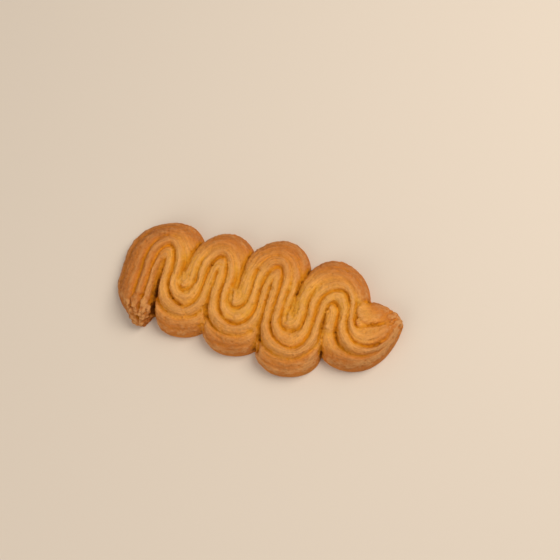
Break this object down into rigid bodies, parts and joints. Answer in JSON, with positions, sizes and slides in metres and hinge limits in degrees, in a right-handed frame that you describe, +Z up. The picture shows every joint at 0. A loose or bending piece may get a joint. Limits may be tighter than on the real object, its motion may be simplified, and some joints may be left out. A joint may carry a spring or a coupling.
{
  "type": "shortbread biscuit",
  "caption": "Long piped shortbread biscuit: a ribbed rope of dough laid to and fro in overlapping loops and baked, with a flat base.",
  "frame": {"origin": "middle of the bounding box's floor, on the flat base", "axes": "+X along the biscuit from the broken start of the rope to its torn tip, +Y across it towards the far loops, +Z up out of the ribbed top"},
  "size_m": [0.1136, 0.0514, 0.0131],
  "materials": {
    "baked_shortbread": "matte"
  },
  "bodies": {
    "root": {"shortbread_biscuit": "baked_shortbread"}
  },
  "joints": []
}
